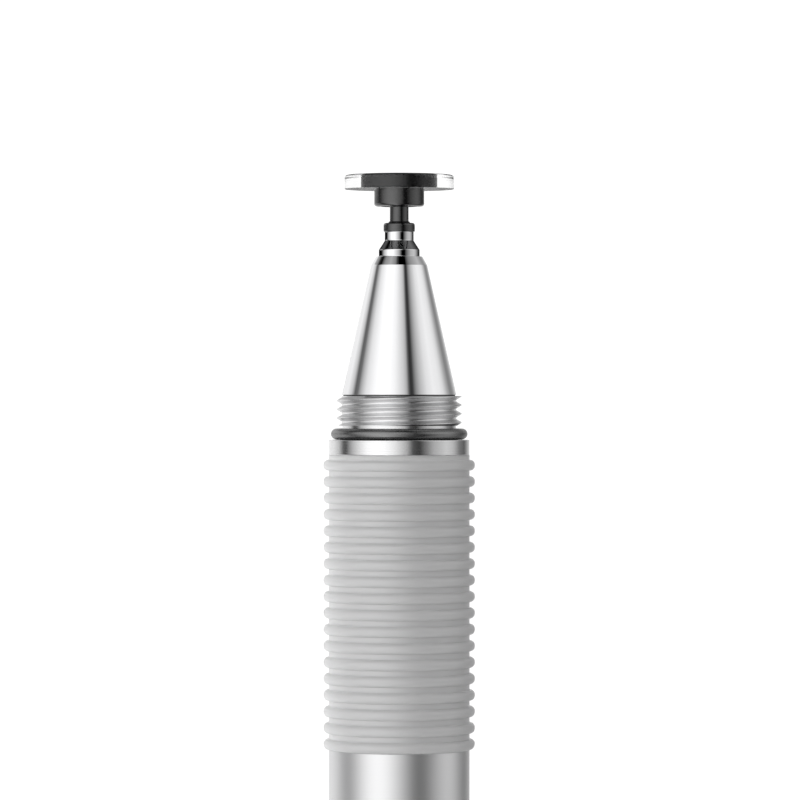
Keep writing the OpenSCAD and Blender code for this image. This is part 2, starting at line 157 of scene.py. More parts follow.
class PenFinishes(bpy.types.PropertyGroup):
    """Colours of the pen's finishes, and how rough its metals are."""

    chrome: colour_prop("Chrome", "Polished cone and ferrule", (0.92, 0.92, 0.93))
    chrome_roughness: factor_prop("Chrome roughness", "Roughness of the polished metal", 0.035)
    # Painted shade: the darker colour of the ferrule's taper.
    taper_painted_shade: colour_prop("Smoked chrome", "Taper of the ferrule", (0.3, 0.3, 0.305))
    turned: colour_prop("Turned steel", "Screw ends and the cap's end", (0.9, 0.9, 0.905))
    turned_roughness: factor_prop("Turned roughness", "Roughness of the turned metal", 0.11)
    satin: colour_prop("Satin aluminium", "Barrel and cap", (0.86, 0.86, 0.865))
    satin_roughness: factor_prop("Satin roughness", "Roughness of the satin metal", 0.35)
    flank: colour_prop("Thread flanks", "Duller flanks of the screw threads", (0.83, 0.83, 0.835))
    black: colour_prop("Black", "Socket, stem and bush", (0.006, 0.006, 0.0065))
    rubber: colour_prop("Rubber", "O-rings", (0.026, 0.026, 0.027))
    silicone: colour_prop("Silicone", "Ribs of the grip sleeve", (0.7, 0.7, 0.702))
    # Painted light: the valleys' colour is paler than the ribs' to stand in for light where the valleys
    # lie in shade.
    silicone_valley_painted_light: colour_prop("Thin silicone", "Valleys between the ribs", (0.78, 0.78, 0.782))
    # Painted light: the plain band's colour is paler to stand in for the light of the bright collar next
    # to it.
    silicone_band_painted_light: colour_prop("Silicone lip", "Plain band above the first rib", (0.95, 0.95, 0.952))
    clear: colour_prop("Clear plastic", "Disc", (1.0, 1.0, 1.0))
    brass: colour_prop("Brass", "Plunger and spring stop", (0.80, 0.60, 0.28))
    spring: colour_prop("Spring steel", "Spring and stem clip", (0.62, 0.62, 0.63))
    nickel: colour_prop("Nickel", "Plated magnet", (0.72, 0.70, 0.67))
    white: colour_prop("White plastic", "Magnet carrier", (0.82, 0.82, 0.80))
    foam: colour_prop("Foam", "Pad in the cap", (0.10, 0.10, 0.11))


class PenStudio(bpy.types.PropertyGroup):
    """Camera, light and floor of the studio."""

    eye_height: length_prop("Camera height", "Height of the camera above the floor", 109.07 * MM)
    eye_distance: length_prop("Camera distance", "Distance from the camera to the pen's axis", 320 * MM)
    eye_side: length_prop("Camera side step", "How far the camera stands to the right", 0.05 * MM)
    lens: FloatProperty(name="Lens", description="Focal length in mm", default=225.0, min=20.0)
    floor_d: length_prop("Floor diameter", "Diameter of the round floor", 0.9)
    floor: colour_prop("Floor", "Colour of the floor", (0.9, 0.9, 0.9))
    glow: factor_prop("Soft boxes", "Brightness of the studio's soft boxes", 1.0, 4.0)
    backdrop: factor_prop("Backdrop", "Brightness of the plain white behind the pen", 1.12, 4.0)


# Turning


def corner(radius, height, rounding=0.0):
    """One corner of a turned profile, with the radius of its rounding."""
    return (radius, height, rounding)


def supported(corners, ring):
    """The corners with extra points near the ends of each long straight stretch."""
    points = []
    ends = corners[1:] + corners[:1] if ring else corners[1:]
    for (r0, z0, round0), (r1, z1, round1) in zip(corners, ends):
        points.append((r0, z0, round0))
        span = math.hypot(r1 - r0, z1 - z0)
        lead = round0 + SUPPORT
        trail = round1 + SUPPORT
        if span > 2.5 * (lead + trail):
            for share in (lead / span, 1 - trail / span):
                points.append((r0 + (r1 - r0) * share, z0 + (z1 - z0) * share, 0.0))
    if not ring:
        points.append(corners[-1])
    return points


def wire(points, ring, segments):
    """Draws a profile in the XZ plane, with its corners rounded."""
    bm = bmesh.new()
    verts = [bm.verts.new((radius, 0, height)) for radius, height, _ in points]
    for a, b in zip(verts, verts[1:] + verts[:1] if ring else verts[1:]):
        bm.edges.new((a, b))
    for vert, (_, _, rounding) in zip(verts, points):
        if rounding:
            bmesh.ops.bevel(
                bm, geom=[vert], offset=rounding, segments=segments, profile=0.5, affect="VERTICES",
                material=-1,
            )
    return bm


def spin(bm, steps, turns=1.0, climb=0.0):
    """Spins a profile about the pen's axis: once round, or up a helix that climbs at each step."""
    bmesh.ops.spin(
        bm, geom=bm.verts[:] + bm.edges[:], cent=(0, 0, 0), axis=(0, 0, 1), dvec=(0, 0, climb),
        angle=FULL_TURN * turns, steps=steps, use_merge=not climb,
    )


def turn(corners, steps, ring=False, segments=6):
    """Turns a profile of corners into a closed solid; a ring's profile closes off the axis."""
    bm = wire(supported(corners, ring), ring, segments)
    spin(bm, steps)
    closed(bm)
    return bm


def arc(radius, middle_z, start):
    """Corners along a ball's outline, from an angle over its foot up to its top."""
    angles = [start + (math.pi - start) * step / ARC_STEPS for step in range(ARC_STEPS + 1)]
    return [corner(radius * math.sin(angle), middle_z - radius * math.cos(angle)) for angle in angles]


def closed(bm):
    """Merges doubles and turns every face of a closed solid outwards."""
    bmesh.ops.remove_doubles(bm, verts=bm.verts[:], dist=0.0002 * MM)
    loose = [edge for edge in bm.edges if not edge.link_faces]
    bmesh.ops.delete(bm, geom=loose, context="EDGES")
    bmesh.ops.recalc_face_normals(bm, faces=bm.faces[:])
    if bm.calc_volume(signed=True) < 0:
        bmesh.ops.reverse_faces(bm, faces=bm.faces[:])


def screw_ridge(section, start, pitch, turns, low_cut, high_cut, steps):
    """A helical ridge of a section whose heights count from start, cut off flat at two heights."""
    raised = [corner(radius, start + height, rounding) for radius, height, rounding in section]
    bm = wire(raised, ring=True, segments=3)
    spin(bm, steps * turns, turns, pitch / steps)
    for height, upward in ((low_cut, -1), (high_cut, 1)):
        cut = bmesh.ops.bisect_plane(
            bm, geom=bm.verts[:] + bm.edges[:] + bm.faces[:], dist=1e-9,
            plane_co=(0, 0, height), plane_no=(0, 0, upward), clear_outer=True,
        )
        edges = [part for part in cut["geom_cut"] if isinstance(part, bmesh.types.BMEdge)]
        filled = bmesh.ops.triangle_fill(bm, use_beauty=True, use_dissolve=False, edges=edges)
        if not filled["geom"]:
            raise RuntimeError("the thread's cut end did not close")
    closed(bm)
    return bm


def joined(first, *others):
    """Adds other solids to the first one."""
    for other in others:
        spare = bpy.data.meshes.new("spare")
        other.to_mesh(spare)
        first.from_mesh(spare)
        other.free()
        bpy.data.meshes.remove(spare)
    return first


def round_section(radius, height, section_r, segments):
    """A round profile that stands in the XZ plane, such as an O-ring's."""
    bm = bmesh.new()
    place = Matrix.Translation((radius, 0, height)) @ Matrix.Rotation(math.pi / 2, 4, "X")
    bmesh.ops.create_circle(bm, cap_ends=False, segments=segments, radius=section_r, matrix=place)
    return bm


def paint(bm, index, chosen):
    """Gives another of the piece's finishes to the faces chosen by their middle and normal."""
    for face in bm.faces:
        if chosen(face.calc_center_median(), face.normal):
            face.material_index = index


def place_piece(name, bm, finishes, body, node):
    """Makes an object of a finished solid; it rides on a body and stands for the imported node."""
    for edge in bm.edges:
        edge.smooth = len(edge.link_faces) == 2 and edge.calc_face_angle(0.0) < SHARP
    for face in bm.faces:
        face.smooth = True
    mesh = bpy.data.meshes.new(name)
    bm.to_mesh(mesh)
    bm.free()
    piece = bpy.data.objects.new(name, mesh)
    bpy.context.scene.collection.objects.link(piece)
    for build in finishes:
        mesh.materials.append(finish(build))
    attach(piece, body)
    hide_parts(node)
    return piece


# Finishes


def add_node(tree, kind, links=None, **settings):
    """Adds a node to a tree; links gives its sockets a value or another node's output."""
    node = tree.nodes.new(kind)
    for name, value in settings.items():
        setattr(node, name, value)
    for socket, source in (links or {}).items():
        if isinstance(source, bpy.types.NodeSocket):
            tree.links.new(source, node.inputs[socket])
        else:
            node.inputs[socket].default_value = source
    return node


class Finish:
    """A node material on Object coordinates, put together one node at a time."""

    def __init__(self, name, colour, roughness, metallic=0.0, ior=1.5):
        self.material = bpy.data.materials.new(name)
        self.material.use_nodes = True
        self.tree = self.material.node_tree
        self.shader = self.tree.nodes["Principled BSDF"]
        self.colour = tuple(colour)
        self.roughness = roughness
        self.shader.inputs["Base Color"].default_value = (*self.colour, 1)
        self.shader.inputs["Roughness"].default_value = roughness
        self.shader.inputs["Metallic"].default_value = metallic
        self.shader.inputs["IOR"].default_value = ior
        self.place = self.add("ShaderNodeTexCoord").outputs["Object"]
        self.material.diffuse_color = (*self.colour, 1)

    def add(self, kind, links=None, **settings):
        """Adds a node to this finish."""
        return add_node(self.tree, kind, links, **settings)

    def noise(self, spot, detail=3.0, place=None):
        """Noise with spots of about the given size."""
        mapped = self.add("ShaderNodeMapping", {"Vector": place or self.place, "Scale": (1 / spot,) * 3})
        links = {"Vector": mapped.outputs["Vector"], "Scale": 1.0, "Detail": detail, "Roughness": 0.55}
        return self.add("ShaderNodeTexNoise", links).outputs["Fac"]

    def lathe_place(self):
        """Coordinates that are the same all round the axis: distance from it, and height."""
        flat = self.add("ShaderNodeVectorMath", {0: self.place, 1: (1, 1, 0)}, operation="MULTIPLY")
        radius = self.add("ShaderNodeVectorMath", {0: flat.outputs[0]}, operation="LENGTH")
        height = self.add("ShaderNodeSeparateXYZ", {0: self.place}).outputs["Z"]
        return self.add("ShaderNodeCombineXYZ", {"X": radius.outputs["Value"], "Z": height}).outputs[0]

    def radius(self):
        """Distance from the axis."""
        return self.add("ShaderNodeSeparateXYZ", {0: self.lathe_place()}).outputs["X"]

    def lines(self, spacing, detail=3.0):
        """Noise that runs in rings round the axis, as a lathe leaves them."""
        return self.noise(spacing, detail, self.lathe_place())

    def spread(self, value, low_value, high_value, start=0.3, end=0.7):
        """Spreads a noise's middle range over two values."""
        links = {"Value": value, "From Min": start, "From Max": end}
        links.update({"To Min": low_value, "To Max": high_value})
        return self.add("ShaderNodeMapRange", links).outputs["Result"]

    def mix(self, share, first, second):
        """Mixes two colours, each given as a value or as another node's output."""
        links = {"Factor": share, 6: first, 7: second}  # 6 and 7 are the node's two colours
        return self.add("ShaderNodeMix", links, data_type="RGBA").outputs[2]

    def vary_roughness(self, value, swing):
        """Lets the roughness swing about its middle with a noise."""
        result = self.spread(value, max(self.roughness - swing, 0.0), self.roughness + swing)
        self.tree.links.new(result, self.shader.inputs["Roughness"])
        return self

    def vary_colour(self, value, darkest):
        """Lets the colour go down to a share of itself with a noise."""
        dark = tuple(c * darkest for c in self.colour)
        share = self.spread(value, 0.0, 1.0)
        mixed = self.mix(share, (*dark, 1), (*self.colour, 1))
        self.tree.links.new(mixed, self.shader.inputs["Base Color"])
        return self

    def bump(self, value, depth):
        """Raises the surface with a noise, by a depth in metres."""
        raised = self.add("ShaderNodeBump", {"Height": value, "Distance": depth, "Strength": 1.0})
        self.tree.links.new(raised.outputs["Normal"], self.shader.inputs["Normal"])
        return self


def finish(build):
    """The material that a function below builds, made when it is first asked for."""
    name = "pen_" + build.__name__
    made = bpy.data.materials.get(name)
    return made or build(name, bpy.context.scene.pen_finishes).material


def mirror_chrome(name, look):
    """Hand-polished chrome with the faintest trace of lathe lines."""
    made = Finish(name, look.chrome, look.chrome_roughness, metallic=1.0)
    lines = made.lines(0.05 * MM, 2.0)
    made.vary_roughness(made.noise(0.8 * MM, 4.0), 0.015)
    made.vary_colour(made.noise(1.6 * MM, 2.0), 0.985)
    return made.bump(lines, 0.00002 * MM)


def turned_steel(name, look):
    """Finely turned steel: rings round the axis that change in brightness and roughness."""
    made = Finish(name, look.turned, look.turned_roughness, metallic=0.93)
    lines = made.lines(0.045 * MM, 3.0)
    made.vary_roughness(lines, 0.05)
    made.vary_colour(lines, 0.86)
    return made.bump(lines, 0.0006 * MM)


def satin_aluminium(name, look):
    """Satin aluminium: very fine rings round the axis under a soft even grain."""
    made = Finish(name, look.satin, look.satin_roughness, metallic=0.9)
    lines = made.lines(0.06 * MM, 2.0)
    made.vary_roughness(lines, 0.02)
    made.vary_colour(lines, 0.975)
    return made.bump(made.noise(0.03 * MM, 2.0), 0.0001 * MM)


def thread_flank(name, look):
    """The flanks of a cut thread, duller than the turned metal round them."""
    made = Finish(name, look.flank, look.turned_roughness + 0.22, metallic=1.0)
    lines = made.lines(0.04 * MM, 3.0)
    made.vary_roughness(lines, 0.06)
    return made.vary_colour(lines, 0.85)


def joint_painted_shade(name, look):
    """Painted shade: near-black faces in the groove between the cone and the screw end, for the shadow in
    that joint.
    """
    made = Finish(name, look.black, 0.6)
    made.vary_roughness(made.noise(0.1 * MM, 3.0), 0.1)
    return made.vary_colour(made.noise(0.1 * MM, 3.0), 0.6)


def hard_chrome(name, look, colour, darkest):
    """Hard chrome that mirrors darkly where it is seen at a slant."""
    made = Finish(name, colour, look.chrome_roughness * 0.5, metallic=1.0)
    made.shader.inputs["Specular Tint"].default_value = (0.08, 0.08, 0.085, 1)
    made.vary_roughness(made.noise(0.5 * MM, 4.0), 0.01)
    return made.vary_colour(made.noise(0.9 * MM, 2.0), darkest)


def dark_chrome(name, look):
    """The ferrule's hard chrome, with faint lathe lines."""
    made = hard_chrome(name, look, look.chrome, 0.98)
    return made.bump(made.lines(0.05 * MM, 2.0), 0.00002 * MM)


def taper_chrome_painted_shade(name, look):
    """The same hard chrome with its colour painted dark on the ferrule's taper: painted shade for the dark
    that the taper mirrors under the disc.
    """
    return hard_chrome(name, look, look.taper_painted_shade, 0.94)


def black_gloss(name, look):
    """Black hard plastic from a polished mould, with slight waves and turned lines."""
    made = Finish(name, look.black, 0.11, ior=2.0)
    made.vary_roughness(made.noise(0.25 * MM, 4.0), 0.04)
    made.vary_colour(made.noise(0.6 * MM, 2.0), 0.7)
    return made.bump(made.lines(0.05 * MM, 2.0), 0.0003 * MM)


def moulded_core(name, look):
    """The same black plastic where the clear plastic grips it, so that it hardly mirrors."""
    made = Finish(name, look.black, 0.3, ior=1.25)
    made.vary_roughness(made.noise(0.2 * MM, 3.0), 0.06)
    return made.vary_colour(made.noise(0.4 * MM, 2.0), 0.7)


def ring_rubber(name, look):
    """Dense black rubber with a dull bloom."""
    made = Finish(name, look.rubber, 0.27, ior=2.85)
    made.vary_roughness(made.noise(0.25 * MM, 3.0), 0.05)
    made.vary_colour(made.noise(0.4 * MM, 3.0), 0.84)
    return made.bump(made.noise(0.15 * MM, 2.0), 0.0001 * MM)


def grip_silicone(name, look):
    """Soft grey silicone with painted light: paler colour in the valleys, against the shade there, and in
    the plain top band, for the light of the bright collar next to it.
    """
    made = Finish(name, look.silicone, 0.34, ior=1.9)
    made.shader.inputs["Subsurface Weight"].default_value = 1.0
    made.shader.inputs["Subsurface Radius"].default_value = (1.0, 1.0, 1.0)
    made.shader.inputs["Subsurface Scale"].default_value = 0.6 * MM
    made.vary_roughness(made.noise(0.5 * MM, 4.0), 0.05)
    valley, crest = reach("barrel"), reach("grip_sleeve")
    # Painted light: a share that is one in the valleys and nought up on the ribs, which mixes in the paler
    # valley colour.
    valley_painted_light = made.spread(made.radius(), 1.0, 0.0, valley, valley + 0.6 * (crest - valley))
    cloud = made.spread(made.noise(0.9 * MM, 3.0), 0.0, 0.1)
    share = made.add("ShaderNodeMath", {0: valley_painted_light, 1: cloud}, operation="SUBTRACT", use_clamp=True)
    ribbed = made.mix(share.outputs[0], (*look.silicone, 1), (*look.silicone_valley_painted_light, 1))
    height = made.add("ShaderNodeSeparateXYZ", {0: made.place}).outputs["Z"]
    top = high("grip_sleeve")
    # Painted light: the plain top band gets a paler colour.
    plain = made.spread(height, 0.0, 1.0, top - 0.4 * MM, top - 0.25 * MM)
    mixed = made.mix(plain, ribbed, (*look.silicone_band_painted_light, 1))
    made.tree.links.new(mixed, made.shader.inputs["Base Color"])
    return made.bump(made.noise(0.07 * MM, 3.0), 0.001 * MM)


def clear_plastic(name, look):
    """Clear polished plastic, with almost invisible wear."""
    made = Finish(name, look.clear, 0.006, ior=1.585)
    made.shader.inputs["Transmission Weight"].default_value = 1.0
    return made.vary_roughness(made.noise(0.5 * MM, 5.0), 0.006)


def turned_brass(name, look):
    """Turned brass with fine rings."""
    made = Finish(name, look.brass, 0.2, metallic=1.0)
    lines = made.lines(0.05 * MM, 3.0)
    made.vary_roughness(lines, 0.06)
    made.vary_colour(lines, 0.8)
    return made.bump(lines, 0.001 * MM)


def spring_steel(name, look):
    """Drawn steel wire with fine streaks."""
    made = Finish(name, look.spring, 0.25, metallic=1.0)
    made.vary_roughness(made.noise(0.08 * MM, 4.0), 0.07)
    return made.vary_colour(made.noise(0.15 * MM, 3.0), 0.75)


def nickel_plating(name, look):
    """Nickel plating with a slight haze."""
    made = Finish(name, look.nickel, 0.12, metallic=1.0)
    made.vary_roughness(made.noise(0.9 * MM, 5.0), 0.07)
    return made.vary_colour(made.noise(1.5 * MM, 3.0), 0.88)


def white_plastic(name, look):
    """Matt white moulded plastic."""
    made = Finish(name, look.white, 0.5)
    made.vary_roughness(made.noise(0.4 * MM, 3.0), 0.06)
    made.vary_colour(made.noise(0.8 * MM, 3.0), 0.94)
    return made.bump(made.noise(0.1 * MM, 3.0), 0.003 * MM)


def pad_foam(name, look):
    """Dark closed-cell foam."""
    made = Finish(name, look.foam, 0.8)
    links = {"Vector": made.place, "Scale": 1 / (0.16 * MM)}
    cells = made.add("ShaderNodeTexVoronoi", links).outputs["Distance"]
    made.vary_colour(cells, 0.5)
    return made.bump(cells, 0.03 * MM)


# Pieces


def screw_end(size, through):
    """A screw end with its thread; its collar is at height nought, its end face points up."""
    front = low("front_o_ring") - size.seat_gap
    root_r = size.thread_d / 2 - size.thread_depth
    foot = low("screw_neck") - front
    band_low = high("barrel") - front
    end = high("screw_neck") - front
    spigot_r = size.bore_d / 2 - FIT
    bore_r = size.neck_bore_d / 2
    outside = [
        corner(spigot_r, foot, 0.05 * MM),
        corner(spigot_r, band_low),
        corner(size.barrel_d / 2, band_low, 0.04 * MM),
        corner(size.barrel_d / 2, 0, 0.06 * MM),
        corner(root_r, 0, 0.02 * MM),
    ]
    if through:
        groove_r = root_r - SHADE_GROOVE
        groove = [corner(root_r, end - SHADE_GROOVE), corner(groove_r, end - SHADE_GROOVE), corner(groove_r, end)]
        inside = [corner(bore_r, end, 0.03 * MM), corner(bore_r, foot, 0.03 * MM)]
        core = turn(outside + groove + inside, size.steps, ring=True)
        # Painted shade: the groove's faces get the near-black third finish.
        shade_low, shade_r = end - 1.01 * SHADE_GROOVE, root_r - 1.05 * SHADE_GROOVE
        paint(core, 2, lambda middle, _: middle.z > shade_low and middle.xy.length > shade_r)
    else:
        hole_end = end - size.tail_wall
        hole = [corner(0, hole_end), corner(bore_r, hole_end, 0.05 * MM), corner(bore_r, foot, 0.03 * MM)]
        core = turn(hole + outside + [corner(root_r, end, 0.03 * MM), corner(0, end)], size.steps)
    crest_half = 0.025 * MM
    clear = 0.002 * MM  # keeps the foot of the ridge off its neighbour and just over the core
    flank_half = crest_half + size.thread_depth * FLANK_SLOPE
    foot_half = size.thread_pitch / 2 - clear
    root = root_r + clear
    section = [
        corner(root_r - SUNK, -foot_half),
        corner(root, -foot_half),
        corner(root, -flank_half, 0.05 * MM),
        corner(size.thread_d / 2, -crest_half, 0.015 * MM),
        corner(size.thread_d / 2, crest_half, 0.015 * MM),
        corner(root, flank_half, 0.05 * MM),
        corner(root, foot_half),
        corner(root_r - SUNK, foot_half),
    ]
    first = end - CREST_LEAD - 4 * size.thread_pitch
    ridge_low = high("front_o_ring") - front + size.seat_gap + 0.16 * MM
    ridge_high = end - 0.08 * MM
    ridge = screw_ridge(section, first, size.thread_pitch, 5, ridge_low, ridge_high, 120)
    paint(ridge, 1, lambda _, normal: abs(normal.z) > 0.6)
    return joined(core, ridge)


def at_tail(bm, size):
    """Turns a piece made for the front screw end over, to the tail's collar."""
    collar = high("tail_o_ring") + size.seat_gap
    place = Matrix.Translation((0, 0, collar)) @ Matrix.Rotation(math.pi, 4, "X")
    bmesh.ops.transform(bm, matrix=place, verts=bm.verts[:])
    return bm


class PEN_OT_disc(bpy.types.Operator):
    """Make the clear round disc that touches the screen"""

    bl_idname = "pen.disc"
    bl_label = "Clear disc"
    bl_options = {"REGISTER", "UNDO"}

    def execute(self, context):
        size = context.scene.pen_sizes
        # The core is moulded in, so the plastic goes a little way into it
        hole_r = size.core_d / 2 - 0.3 * MM
        foot = low("disc") - size.disc_grip
        corners = [
            corner(hole_r, foot),
            corner(size.disc_d / 2, foot, 0.03 * MM),
            corner(size.disc_d / 2, high("disc"), 0.17 * MM),
            corner(hole_r, high("disc")),
        ]
        bm = turn(corners, size.steps, ring=True, segments=8)
        place_piece("disc_clear", bm, (clear_plastic,), "disc_tip", "disc")
        return {"FINISHED"}


class PEN_OT_tip(bpy.types.Operator):
    """Make the black socket, the stem with its ball and the guide bush"""

    bl_idname = "pen.tip"
    bl_label = "Ball joint and bush"
    bl_options = {"REGISTER", "UNDO"}

    def execute(self, context):
        size = context.scene.pen_sizes
        self.socket(size)
        self.stem(size)
        self.bush(size)
        return {"FINISHED"}

    def socket(self, size):
        """The socket under the disc and its core in the disc."""
        outer_r = reach("ball_socket")
        foot = low("ball_socket")
        cavity_r = size.ball_d / 2 + 0.03 * MM
        # The mouth flares so that the stem has room in it when the disc is tilted as far as it goes
        room = size.stem_d / 2 + 0.04 * MM
        mouth_r = room / math.cos(DISC_TILT) + BALL_DEPTH * math.tan(DISC_TILT)
        cavity = arc(cavity_r, foot + BALL_DEPTH, DISC_TILT + math.asin(room / cavity_r))
        top, seat = high("disc"), low("disc")
        grip_low = seat - size.disc_grip
        outside = [
            corner(0, top),
            corner(size.core_d / 2, top, 0.19 * MM),
            corner(size.core_d / 2, seat + 0.02 * MM, 0.08 * MM),
            corner(size.core_d / 2 - 0.2 * MM, seat + 0.01 * MM),
            corner(outer_r, seat + 0.01 * MM),
            corner(outer_r, grip_low),
            corner(outer_r, foot, 0.18 * MM),
            corner(mouth_r, foot, 0.02 * MM),
        ]
        bm = turn(outside + cavity, size.steps)
        paint(bm, 1, lambda middle, _: middle.z > grip_low)
        finishes = (black_gloss, moulded_core)
        place_piece("socket_black", bm, finishes, "disc_tip", "ball_socket")

    def stem(self, size):
        """The stem, from its end in the spring chamber to its ball."""
        shoulder = high("plunger") + FIT
        groove_low, groove_high = low("stem_clip") - FIT, high("stem_clip") + FIT
        ball = arc(size.ball_d / 2, low("ball_socket") + BALL_DEPTH, math.asin(size.stem_d / size.ball_d))
        shank = [
            corner(0, low("ball_stem")),
            corner(size.journal_d / 2, low("ball_stem"), 0.05 * MM),
            corner(size.journal_d / 2, groove_low),
            corner(size.groove_d / 2, groove_low),
            corner(size.groove_d / 2, groove_high),
            corner(size.journal_d / 2, groove_high),
            corner(size.journal_d / 2, shoulder),
            corner(size.stem_d / 2, shoulder, 0.03 * MM),
        ]
        bm = turn(shank + ball, size.steps)
        place_piece("stem_black", bm, (black_gloss,), "stem", "ball_stem")

    def bush(self, size):
        """The guide bush, with a small matt lip round the stem."""
        outer_r = reach("nose_bush")
        foot, seat, top = low("nose_bush"), high("ferrule"), high("nose_bush")
        lip_top = top + 0.09 * MM
        bore_r = size.stem_d / 2 + FIT
        lip_r = size.stem_d / 2 + 0.08 * MM
        corners = [
            corner(size.bush_spigot_d / 2, foot, 0.02 * MM),
            corner(size.bush_spigot_d / 2, seat),
            corner(outer_r, seat, 0.05 * MM),
            corner(outer_r, top, 0.13 * MM),
            corner(lip_r, top),
            corner(lip_r, lip_top, 0.03 * MM),
            corner(bore_r, lip_top, 0.02 * MM),
            corner(bore_r, foot, 0.02 * MM),
        ]
        bm = turn(corners, size.steps, ring=True)
        paint(bm, 1, lambda middle, _: middle.z > top + 0.005 * MM)
        place_piece("bush_black", bm, (black_gloss, moulded_core), "pen", "nose_bush")


class PEN_OT_nose(bpy.types.Operator):
    """Make the mirror-polished cone and the ferrule in front of it"""

    bl_idname = "pen.nose"
    bl_label = "Cone and ferrule"
    bl_options = {"REGISTER", "UNDO"}

    def execute(self, context):
        size = context.scene.pen_sizes
        band_low, top = high("nose_cone"), high("ferrule")
        taper_low = band_low + size.band_len
        neck_low = taper_low + size.taper_len
        ferrule = [
            corner(size.shank_d / 2, low("ferrule"), 0.04 * MM),
            corner(size.shank_d / 2, band_low),
            corner(size.band_d / 2, band_low, 0.015 * MM),
            corner(size.band_d / 2, taper_low, 0.02 * MM),
            corner(size.neck_d / 2, neck_low, 0.02 * MM),
            corner(size.neck_d / 2, top, 0.015 * MM),
            corner(size.bush_spigot_d / 2 + FIT, top),
            corner(size.bush_spigot_d / 2 + FIT, low("nose_bush") - FIT),
            corner(size.stem_d / 2 + 2 * FIT, low("nose_bush") - FIT),
            corner(size.stem_d / 2 + 2 * FIT, low("ferrule")),
        ]
        bm = turn(ferrule, size.steps, ring=True)
        inner_r = size.neck_d / 2 - FIT
        # The taper's faces get the darker chrome: painted shade.
        paint(bm, 1, lambda middle, _: taper_low < middle.z < neck_low and middle.xy.length > inner_r)
        place_piece("ferrule_chrome", bm, (dark_chrome, taper_chrome_painted_shade), "pen", "ferrule")
        base_z = high("screw_neck")
        root_r = size.thread_d / 2 - size.thread_depth
        cone = [
            corner(size.neck_bore_d / 2 - FIT, low("nose_cone"), 0.05 * MM),
            corner(size.neck_bore_d / 2 - FIT, base_z),
            corner(root_r, base_z, 0.015 * MM),
            corner(size.cone_tip_d / 2, band_low - size.bevel_len, 0.03 * MM),
            corner(size.bevel_d / 2, band_low, 0.015 * MM),
            corner(size.shank_d / 2 + FIT, band_low),
            corner(size.shank_d / 2 + FIT, low("ferrule")),
            corner(size.chamber_d / 2, low("ferrule")),
            corner(size.chamber_d / 2, low("cushion_spring")),
            corner(size.stop_d / 2, low("cushion_spring")),
            corner(size.stop_d / 2, low("nose_cone")),
        ]
        bm = turn(cone, size.steps, ring=True)
        place_piece("cone_chrome", bm, (mirror_chrome,), "pen", "nose_cone")
        return {"FINISHED"}


class PEN_OT_screw_ends(bpy.types.Operator):
    """Make the turned screw ends at the front and at the tail"""

    bl_idname = "pen.screw_ends"
    bl_label = "Screw ends"
    bl_options = {"REGISTER", "UNDO"}

    def execute(self, context):
        size = context.scene.pen_sizes
        steels = (turned_steel, thread_flank, joint_painted_shade)
        bm = screw_end(size, through=True)
        bmesh.ops.translate(bm, vec=(0, 0, low("front_o_ring") - size.seat_gap), verts=bm.verts[:])
        place_piece("neck_turned", bm, steels, "pen", "screw_neck")
        bm = at_tail(screw_end(size, through=False), size)
        place_piece("tail_turned", bm, steels, "pen", "tail_plug")
        return {"FINISHED"}


class PEN_OT_rings(bpy.types.Operator):
    """Make the rubber O-rings in front of both collars"""

    bl_idname = "pen.rings"
    bl_label = "O-rings"
    bl_options = {"REGISTER", "UNDO"}

    def execute(self, context):
        size = context.scene.pen_sizes
        rings = (("ring_front", "front_o_ring", "pen"), ("ring_tail", "tail_o_ring", "tail_ring"))
        for name, node, body in rings:
            cord_r = (high(node) - low(node)) / 2
            bm = round_section(reach(node) - cord_r, low(node) + cord_r, cord_r, segments=40)
            spin(bm, size.steps)
            closed(bm)
            place_piece(name, bm, (ring_rubber,), body, node)
        return {"FINISHED"}


class PEN_OT_grip(bpy.types.Operator):
    """Make the ribbed silicone sleeve"""

    bl_idname = "pen.grip"
    bl_label = "Grip sleeve"
    bl_options = {"REGISTER", "UNDO"}

    def execute(self, context):
        size = context.scene.pen_sizes
        outer_r = size.barrel_d / 2
        seat_r = size.grip_seat_d / 2 + 0.01 * MM
        proud = size.rib_d / 2
        foot_round = 0.04 * MM
        full_round = 0.97 * proud
        top = high("barrel")
        corners = [corner(seat_r, low("grip_sleeve")), corner(seat_r, top)]
        corners.append(corner(outer_r, top, foot_round))
        for rib in range(size.rib_count):
            middle = top - size.grip_lead - rib * size.rib_pitch
            last = rib == size.rib_count - 1
            corners += [
                corner(outer_r, middle + proud, foot_round),
                corner(outer_r + proud, middle + proud, full_round - foot_round),
                corner(outer_r + proud, middle - proud, full_round if last else full_round - foot_round),
            ]
            if not last:
                corners.append(corner(outer_r, middle - proud, foot_round))
        bm = turn(corners, size.grip_steps, ring=True)
        place_piece("grip_ribbed", bm, (grip_silicone,), "pen", "grip_sleeve")
        return {"FINISHED"}


class PEN_OT_barrel(bpy.types.Operator):
    """Make the satin barrel tube with its seat for the grip"""

    bl_idname = "pen.barrel"
    bl_label = "Barrel"
    bl_options = {"REGISTER", "UNDO"}

    def execute(self, context):
        size = context.scene.pen_sizes
        foot, top = low("barrel"), high("barrel")
        grip_low = top - size.grip_lead - (size.rib_count - 1) * size.rib_pitch - size.rib_d / 2
        corners = [
            corner(size.bore_d / 2, foot, 0.03 * MM),
            corner(size.barrel_d / 2, foot, 0.05 * MM),
            corner(size.barrel_d / 2, grip_low, 0.03 * MM),
            corner(size.grip_seat_d / 2, grip_low),
            corner(size.grip_seat_d / 2, top, 0.03 * MM),
            corner(size.bore_d / 2, top, 0.03 * MM),
        ]
        bm = turn(corners, size.steps, ring=True)
        place_piece("barrel_satin", bm, (satin_aluminium,), "pen", "barrel")
        return {"FINISHED"}


